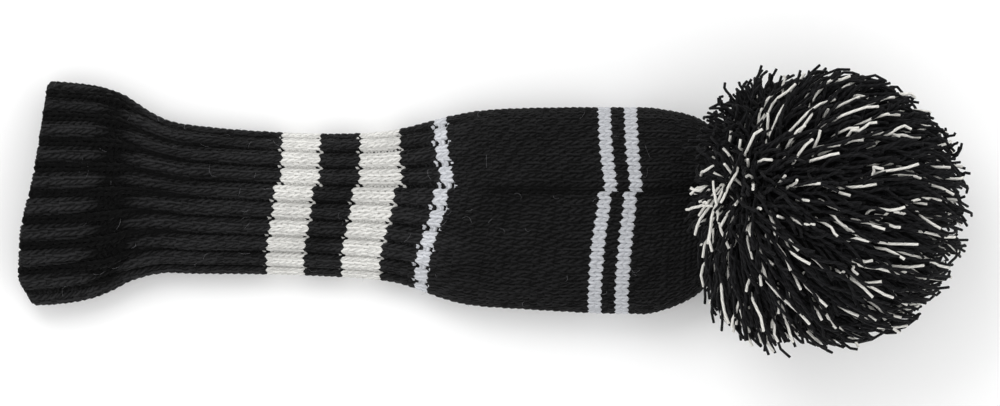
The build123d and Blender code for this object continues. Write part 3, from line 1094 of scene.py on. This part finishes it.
class HEADCOVER_OT_pompom(bpy.types.Operator):
    """Ties the pom-pom: a dark core, layers of black strands and scattered white ones"""

    bl_idname = "headcover.pompom"
    bl_label = "Pom-pom"

    def execute(self, context):
        settings = context.scene.headcover_pompom
        low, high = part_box("pompom_black_yarn")
        full = (high[1] - low[1]) / 2
        ball = 0.98 * full
        centre = Vector((high[0] - full - 2.5 * MM, (high[1] + low[1]) / 2, high[2] - full))
        face = low[0]
        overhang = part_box("crown")[1][2] + 9 * MM
        turned = pole_turn(WHORL_WAY)
        tree = strand_tree()
        shared = {
            "Points": 9, "Sides": 5, "Centre": centre, "Whorl": turned, "Ball": ball, "Face": face,
            "Overhang": overhang, "Radius": settings.yarn / 2, "Wave": settings.wave,
            "Stray": settings.stray, "Turn": 0.0, "Sector": 2 * math.pi, "From": 0.995, "To": -0.995,
        }
        # The ends sag longest beside the crown, on the -Y half.
        low_tuft = {
            "Ball": 1.12 * ball, "From": 0.56, "To": 0.16, "Sector": 0.75,
            "Turn": turn_towards(turned, (-0.56, -0.83, 0.1)) - 0.37,
        }
        source = bpy.data.meshes.new("pompom_source")
        source.from_pydata([centre[:]], [], [])
        for name, shade, ends, root, ragged, lie, varies, seed, own in (
            ("black_under", "black", settings.strands, 0.34, 0.16, 0.5, 0.2, 3, {}),
            ("black_middle", "black", settings.strands, 0.3, 0.09, 0.6, 0.25, 11, {}),
            ("white_strands", "white", settings.white_strands, 0.37, 0.07, 0.5, 0.25, 23, {}),
            ("white_strays", "white", 10, 0.1, 0.1, 0.5, 0.1, 31, {
                "Wave": 6 * MM, "From": 0.99, "To": 0.84, "Ball": 1.05 * ball, "Sector": 2.0,
                "Turn": turn_towards(turned, (-0.9, -0.25, 0.1)) - 1.0}),
            ("crown_tuft", "black", 190, 0.35, 0.16, 0.3, 0.1, 41, {
                "From": 1.0, "To": 0.92, "Ball": 1.105 * ball, "Whorl": pole_turn((-0.68, 0.70, 0.15))}),
            ("low_tuft", "black", 200, 0.35, 0.13, 0.55, 0.2, 53, low_tuft),
            ("low_tuft_white", "white", 30, 0.35, 0.1, 0.45, 0.2, 59, low_tuft),
            ("side_tuft", "black", 7, 0.3, 0.05, 0.3, 0.1, 47, {
                "From": 1.0, "To": 0.985, "Ball": 1.06 * ball, "Whorl": pole_turn((0.9, 0.42, 0.05))}),
        ):
            piece = grow(f"pompom_{name}", tree, source, {
                **shared, "Ends": ends, "Root": root, "Ragged": ragged, "Lie": lie, "Lie Varies": varies,
                "Seed": seed, "Material": MATERIALS[f"pom-pom {shade}"], **own})
            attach(piece, "pompom")
            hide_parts(f"pompom_{shade}_yarn")
        bpy.data.meshes.remove(source)
        self.core(centre, 0.82 * ball, face)
        return {"FINISHED"}

    def core(self, centre, radius, face):
        """The dense middle of the pom-pom, which shows only as darkness between strands; its colour is
        painted darker, as shade.
        """
        form = bmesh.new()
        bmesh.ops.create_uvsphere(form, u_segments=64, v_segments=40, radius=radius)
        for corner in form.verts:
            spot = corner.co + centre
            corner.co = (max(spot.x, face), spot.y, max(spot.z, 1.5 * MM))
        piece = form_piece(form, "pompom_core", "pom-pom core")
        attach(piece, "pompom")
        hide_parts("pompom_black_yarn")


class HEADCOVER_OT_inner_finish(bpy.types.Operator):
    """Gives the hidden lining, the thread and the tie their cloth and cord"""

    bl_idname = "headcover.inner_finish"
    bl_label = "Finish inner pieces"

    def execute(self, context):
        kinds = (("lining", "lining"), ("crown_gathering", "thread"), ("pompom_tie", "tie"),
                 ("pompom_binding", "binding"), ("pompom_white", "pom-pom white"),
                 ("pompom", "pom-pom black"), ("wide", "white"), ("thin", "cool white"), ("", "black"))
        for name, node in frame["nodes"].items():
            kind = next(kind for start, kind in kinds if name.startswith(start))
            node.data.materials.clear()
            node.data.materials.append(MATERIALS[kind])
        for name in ("lining_neck", "lining_neck_fold"):
            self.cloth(name, fold_crossing("neck_fold"))
        return {"FINISHED"}

    def cloth(self, name, crossing):
        """A lining band cut into short rings, so that it bends smoothly with the fold."""
        form = bmesh.new()
        form.from_mesh(frame["nodes"][name].data)
        bmesh.ops.remove_doubles(form, verts=form.verts, dist=0.01 * MM)
        for place in np.arange(crossing[2][0], crossing[3][0], 2 * PLACE_STEP):
            bmesh.ops.bisect_plane(form, geom=[*form.verts, *form.edges, *form.faces],
                                   plane_co=(place, 0, 0), plane_no=(1, 0, 0))
        piece = form_piece(form, f"{name}_cloth", "lining")
        place_piece(piece, name, crossing)


class HEADCOVER_OT_stage(bpy.types.Operator):
    """Makes the pale floor, the soft lights and the camera straight above"""

    bl_idname = "headcover.stage"
    bl_label = "Stage"

    def execute(self, context):
        settings = context.scene.headcover_stage
        mesh = bpy.data.meshes.new("floor")
        half = settings.floor / 2
        corners = [(-half, -half, 0), (half, -half, 0), (half, half, 0), (-half, half, 0)]
        mesh.from_pydata(corners, [], [(0, 1, 2, 3)])
        mesh.materials.append(MATERIALS["floor"])
        floor = new_object("floor", mesh)
        world = bpy.data.worlds.new("studio")
        world.use_nodes = True
        world.node_tree.nodes["Background"].inputs["Color"].default_value = (1, 1, 1, 1)
        world.node_tree.nodes["Background"].inputs["Strength"].default_value = 0.97
        context.scene.world = world
        for name, place, size, power in (
            ("key", (-0.5, 0.9, 1.5), 0.9, settings.key),
            ("fill", (0.9, -0.4, 1.3), 1.2, 0.3 * settings.key),
        ):
            lamp = bpy.data.lights.new(name, "AREA")
            lamp.size = size
            lamp.energy = power
            light = new_object(name, lamp)
            light.location = place
            towards = Vector((0.05, 0, 0)) - Vector(place)
            light.rotation_euler = towards.to_track_quat("-Z", "Y").to_euler()
        lens = bpy.data.cameras.new("camera")
        lens.sensor_width = 36
        lens.lens = lens.sensor_width * settings.camera_height / settings.view_width
        lens.clip_end = 3 * settings.camera_height
        camera = new_object("camera", lens)
        camera.location = (2.1 * MM, 2.6 * MM, settings.camera_height)
        context.scene.camera = camera
        context.scene.view_settings.view_transform = "Standard"
        return {"FINISHED"}


class HEADCOVER_PT_panel(bpy.types.Panel):
    """Lists the steps that make the head cover"""

    bl_label = "Head Cover"
    bl_space_type = "VIEW_3D"
    bl_region_type = "UI"
    bl_category = "Head Cover"

    def draw(self, context):
        for step in STEPS:
            self.layout.operator(step.bl_idname)


STEPS = (
    HEADCOVER_OT_yarns, HEADCOVER_OT_knit, HEADCOVER_OT_fibres, HEADCOVER_OT_skirt, HEADCOVER_OT_pompom,
    HEADCOVER_OT_inner_finish, HEADCOVER_OT_stage,
)
SETTINGS = {
    "headcover_colours": ColourSettings, "headcover_knit": KnitSettings,
    "headcover_pompom": PomPomSettings, "headcover_stage": StageSettings,
}
CLASSES = (*SETTINGS.values(), *STEPS, HEADCOVER_PT_panel)


def register():
    for cls in CLASSES:
        bpy.utils.register_class(cls)
    for name, group in SETTINGS.items():
        setattr(bpy.types.Scene, name, bpy.props.PointerProperty(type=group))


def unregister():
    for name in SETTINGS:
        delattr(bpy.types.Scene, name)
    for cls in reversed(CLASSES):
        bpy.utils.unregister_class(cls)


def main():
    register()
    bpy.ops.headcover.yarns()
    bpy.ops.headcover.knit()
    bpy.ops.headcover.fibres()
    bpy.ops.headcover.skirt()
    bpy.ops.headcover.pompom()
    bpy.ops.headcover.inner_finish()
    bpy.ops.headcover.stage()
    bpy.data.meshes.remove(shared_surface())


if __name__ == "__main__":
    main()
